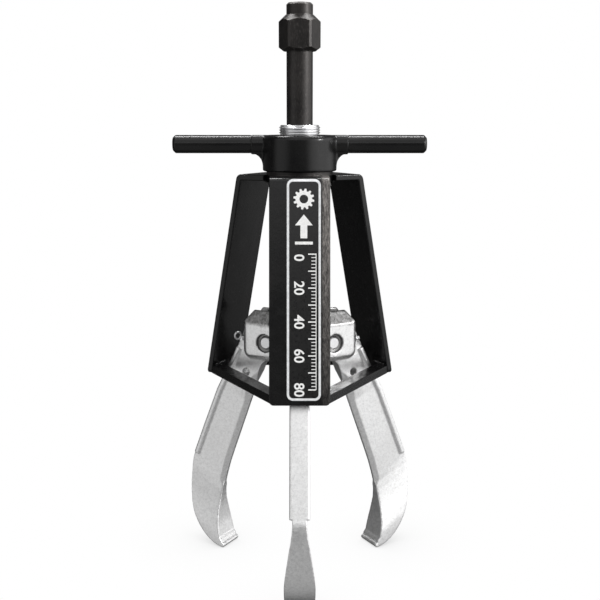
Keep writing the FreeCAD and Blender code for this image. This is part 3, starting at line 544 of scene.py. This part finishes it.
def cage_welds():
    """Beads where the ring bars meet the legs' inner faces, and about the collar."""
    bm = bmesh.new()
    inner_radius = leg_face_radius(BAR_BEAD_Z) - LEG_THICKNESS / math.cos(LEAN)
    for leg, degrees in enumerate(LEG_AZIMUTHS):
        azimuth = math.radians(degrees)
        for bead, side in enumerate((-1, 1)):
            start, end = (polar_point(azimuth, inner_radius, side * offset, BAR_BEAD_Z)
                          for offset in BAR_BEAD_SPAN)
            bar_bead(bm, start, end, seed=3 * leg + bead)
        collar_bead(bm, azimuth, seed=3 * leg + 2)
    add_cage_part("cage_weld_beads", bm, "enamel")


# ------------------------------------------------- markings of the plate ----
# Plate coordinates: u along +X from the middle, w down the face from the upper end.
OUT = Vector((0, -math.cos(LEAN), math.sin(LEAN)))
RIGHT = Vector((1, 0, 0))
DOWN = Vector((0, -math.sin(LEAN), -math.cos(LEAN)))
PLATE_TOP_Z = 0.3002
PLATE_ORIGIN = Vector((PLATE_X, -leg_face_radius(PLATE_TOP_Z), PLATE_TOP_Z))
PLATE_FACE = 0.00029                    # plate face, out from the leg's face
INK_THICKNESS = 0.00008

WHEEL_W = 0.0098
WHEEL_TEETH, POINTS_PER_TOOTH = 12, 12
WHEEL_ROOT, WHEEL_TIP, WHEEL_BORE = 0.0057, 0.0073, 0.0030     # radii
TOOTH_FLANK, TOOTH_END = 0.16, 0.66     # fractions of the tooth pitch

ARROW_W = 0.0205                        # its point
ARROW_HALF, SHAFT_HALF = 0.0062, 0.0024
ARROW_HEAD, ARROW_LENGTH = 0.0075, 0.0165
ARROW_BAR = (0.0188, 0.0208)            # bar below the arrow, from its point

SCALE_W, SCALE_PITCH, SCALE_TICKS = 0.0480, 0.00235, 41
SCALE_U, SPINE_WIDTH, SPINE_LEAD = 0.0082, 0.0005, 0.0006
LONG_TICK, SHORT_TICK = (0.0052, 0.00042), (0.0030, 0.00028)   # length, half thickness
NUMERAL_SIZE, NUMERAL_U, NUMERAL_SWELL = 0.0098, -0.0036, 0.00018


def on_plate(u, w, height=0.0):
    return PLATE_ORIGIN + RIGHT * u + DOWN * w + OUT * (PLATE_FACE + height)


def stamp(bm, outline, hole=None):
    """Thin printed patch from a closed outline, optionally with a hole of the same count."""
    def ring(points, height):
        return [bm.verts.new(on_plate(u, w, height)) for u, w in points]

    low, high = ring(outline, 0), ring(outline, INK_THICKNESS)
    count = len(outline)
    following = [(i, (i + 1) % count) for i in range(count)]
    for i, j in following:
        bm.faces.new((low[i], low[j], high[j], high[i]))
    if hole is None:
        bm.faces.new(high)
        bm.faces.new(low[::-1])
        return
    hole_low, hole_high = ring(hole, 0), ring(hole, INK_THICKNESS)
    for i, j in following:
        bm.faces.new((hole_high[i], hole_high[j], hole_low[j], hole_low[i]))
        bm.faces.new((high[i], high[j], hole_high[j], hole_high[i]))
        bm.faces.new((hole_low[i], hole_low[j], low[j], low[i]))


def stamp_box(bm, u0, w0, u1, w1):
    stamp(bm, [(u0, w0), (u1, w0), (u1, w1), (u0, w1)])


def stamp_wheel(bm):
    """Toothed wheel at the top of the plate."""
    outer, bore = [], []
    count = WHEEL_TEETH * POINTS_PER_TOOTH
    for i in range(count):
        part = (i % POINTS_PER_TOOTH) / POINTS_PER_TOOTH
        rise = max(0.0, min(1.0, part / TOOTH_FLANK, (TOOTH_END - part) / TOOTH_FLANK))
        angle = 2 * math.pi * i / count
        for points, radius in ((outer, WHEEL_ROOT + (WHEEL_TIP - WHEEL_ROOT) * rise),
                               (bore, WHEEL_BORE)):
            points.append((radius * math.cos(angle), WHEEL_W + radius * math.sin(angle)))
    stamp(bm, outer, bore)


def stamp_arrow(bm):
    """Arrow pointing up the plate, with a bar below it."""
    neck, tail = ARROW_W + ARROW_HEAD, ARROW_W + ARROW_LENGTH
    stamp(bm, [(0.0, ARROW_W), (ARROW_HALF, neck), (SHAFT_HALF, neck), (SHAFT_HALF, tail),
               (-SHAFT_HALF, tail), (-SHAFT_HALF, neck), (-ARROW_HALF, neck)])
    stamp_box(bm, -ARROW_HALF, ARROW_W + ARROW_BAR[0], ARROW_HALF, ARROW_W + ARROW_BAR[1])


def stamp_scale(bm):
    """Graduated scale, every fifth tick long, joined by a spine along its +X side."""
    for i in range(SCALE_TICKS):
        w = SCALE_W + i * SCALE_PITCH
        length, half = SHORT_TICK if i % 5 else LONG_TICK
        stamp_box(bm, SCALE_U - length, w - half, SCALE_U, w + half)
    stamp_box(bm, SCALE_U, SCALE_W - SPINE_LEAD, SCALE_U + SPINE_WIDTH, w)


def scale_numeral(tick):
    """Numeral beside a tick, reading down the plate."""
    name = "scale_numeral_%02d" % tick
    text = bpy.data.curves.new(name, "FONT")
    text.body = "%d" % (tick // 5 * 10)
    text.size = NUMERAL_SIZE
    text.offset = NUMERAL_SWELL
    text.align_x = "CENTER" if tick else "LEFT"
    text.align_y = "CENTER"
    text.resolution_u = 4
    holder = bpy.data.objects.new("tmp", text)
    scene.collection.objects.link(holder)
    depsgraph = bpy.context.evaluated_depsgraph_get()
    flat = bpy.data.meshes.new_from_object(holder.evaluated_get(depsgraph))
    bpy.data.objects.remove(holder)
    bm = bmesh.new()
    bm.from_mesh(flat)
    bmesh.ops.remove_doubles(bm, verts=bm.verts, dist=1e-6)
    extruded = bmesh.ops.extrude_face_region(bm, geom=list(bm.faces))["geom"]
    lifted = {item for item in extruded if isinstance(item, bmesh.types.BMVert)}
    w = SCALE_W + tick * SCALE_PITCH
    for vert in bm.verts:
        height = INK_THICKNESS if vert in lifted else 0.0
        vert.co = on_plate(NUMERAL_U + vert.co.y, w + vert.co.x, height)
    add_cage_part(name, bm, "ink", smooth=False)


def plate_markings():
    bm = bmesh.new()
    stamp_wheel(bm)
    stamp_arrow(bm)
    stamp_scale(bm)
    add_cage_part("plate_scale_marks", bm, "ink", smooth=False)
    for tick in range(0, SCALE_TICKS, 10):
        scale_numeral(tick)


# ------------------------------------------------------------------ studio ----
def floor_white():
    """Seen by the camera as glowing white with a painted contact shadow from ambient occlusion;
    matt grey otherwise.
    """
    m = Material("floor_white")
    color = m.mix(under=grey(0.16), over=grey(0.18), mask=m.noise(scale=3, detail=3))
    m.set(base_color=color, roughness=0.9, specular_ior_level=0.1)
    contact = m.node("AmbientOcclusion", {"Distance": 0.07}, samples=8).outputs["AO"]
    # painted contact shadow: the glowing white dims where the occlusion is strong
    glow = m.ramp(contact, (0.0, 0.52), (0.45, 0.80), (0.8, 0.97), (1.0, 1.0))
    seen = m.node("LightPath").outputs["Is Camera Ray"]
    emission = m.node("Emission", {0: glow}).outputs[0]
    mixed = m.node("MixShader", {0: seen, 1: m.shader.outputs[0], 2: emission})
    m.feed(m.output.inputs[0], mixed.outputs[0])
    return m.material


def add_floor():
    mesh = bpy.data.meshes.new("floor")
    bm = bmesh.new()
    bmesh.ops.create_grid(bm, x_segments=8, y_segments=8, size=6.0)
    bm.to_mesh(mesh)
    bm.free()
    floor = bpy.data.objects.new("floor", mesh)
    floor.location = (0, 0, cad_box[0][2] - 0.0002)
    scene.collection.objects.link(floor)
    mesh.materials.append(floor_white())
    floor.visible_glossy = False
    floor.visible_diffuse = False


def add_world():
    """Soft panels by direction of view; the camera itself sees plain white."""
    world = bpy.data.worlds.new("studio")
    scene.world = world
    sky = Graph(world, "OutputWorld", "Generated")
    times, plus = sky.times, sky.plus

    def fade(value, source, to=(0.0, 1.0)):
        return sky.remap(value, source, to, interpolation_type="SMOOTHSTEP")

    x, y, z = sky.xyz()
    dim_above = fade(z, (0.40, 0.60), to=(1.0, 0.14))
    # bright panel at +X, reaching round behind the camera
    right = times(times(fade(x, (0.30, 0.72)), fade(y, (0.75, 0.20))),
                  times(dim_above, fade(z, (-0.62, 0.12), to=(0.0, 1.85))))
    # dimmer wall at -X
    left = times(times(fade(x, (-0.40, -0.80)), fade(y, (0.02, -0.36))),
                 times(dim_above, fade(z, (-0.9, -0.25), to=(0.0, 0.66))))
    # broad panel above the camera
    width = fade(sky.math("ABSOLUTE", x), (0.38, 0.66), to=(1.0, 0.32))
    front = times(times(fade(z, (0.20, 0.36)), fade(z, (0.42, 0.50), to=(1.55, 0.80))),
                  times(fade(y, (0.15, -0.30)), width))
    overhead_strength, ambient = 0.55, 0.07
    overhead = times(fade(z, (0.70, 0.95)), overhead_strength)
    # low fill from the camera's side
    low = times(fade(y, (0.10, -0.25)), fade(z, (-0.40, -0.12), to=(0.36, 0.12)))
    total = plus(plus(sky.math("MAXIMUM", right, front), left),
                 plus(plus(overhead, low), ambient))
    panels = sky.node("CombineColor", {0: total, 1: total, 2: total}).outputs[0]

    lit, seen = (sky.node("Background", {"Color": color, "Strength": 1.0}).outputs[0]
                 for color in (panels, grey(1.0)))
    is_camera = sky.node("LightPath").outputs["Is Camera Ray"]
    mixed = sky.node("MixShader", {0: is_camera, 1: lit, 2: seen})
    sky.feed(sky.output.inputs[0], mixed.outputs[0])


def add_area_light(name, location, target, size, size_y, energy):
    light = bpy.data.lights.new(name, "AREA")
    light.shape = "RECTANGLE"
    light.size = size
    light.size_y = size_y
    light.energy = energy
    holder = bpy.data.objects.new(name, light)
    holder.location = location
    aim = Vector(target) - Vector(location)
    holder.rotation_euler = aim.to_track_quat("-Z", "Y").to_euler()
    scene.collection.objects.link(holder)


def add_camera():
    """Camera in front (-Y), looking slightly down."""
    camera = bpy.data.cameras.new("camera")
    camera.sensor_width = 36
    camera.lens = 57.63
    camera.shift_x = 0.00055
    camera.clip_start = 0.01
    holder = bpy.data.objects.new("camera", camera)
    holder.location = (0, -0.7119, 0.3455)
    downward = 10.7     # degrees
    holder.rotation_euler = (math.radians(90 - downward), 0, 0)
    scene.collection.objects.link(holder)
    scene.camera = holder


# ------------------------------------------------------------------- build ----
dress_parts()
for jaw in ("jaw_front", "jaw_left", "jaw_right"):
    forge(jaw)
forge("t_handle_hub", voxel=0.00055, smoothings=9)
forge("jaw_head_block")
cage_welds()
plate_markings()
add_floor()
add_world()
add_area_light("softbox_right", location=(1.00, -0.42, 0.66), target=(0, 0, 0.30),
               size=0.12, size_y=0.15, energy=6.5)
add_area_light("strip_above", location=(0.03, 0.34, 1.30), target=(0, 0, 0.33),
               size=1.3, size_y=0.12, energy=17.0)
add_camera()
scene.view_settings.view_transform = "Standard"
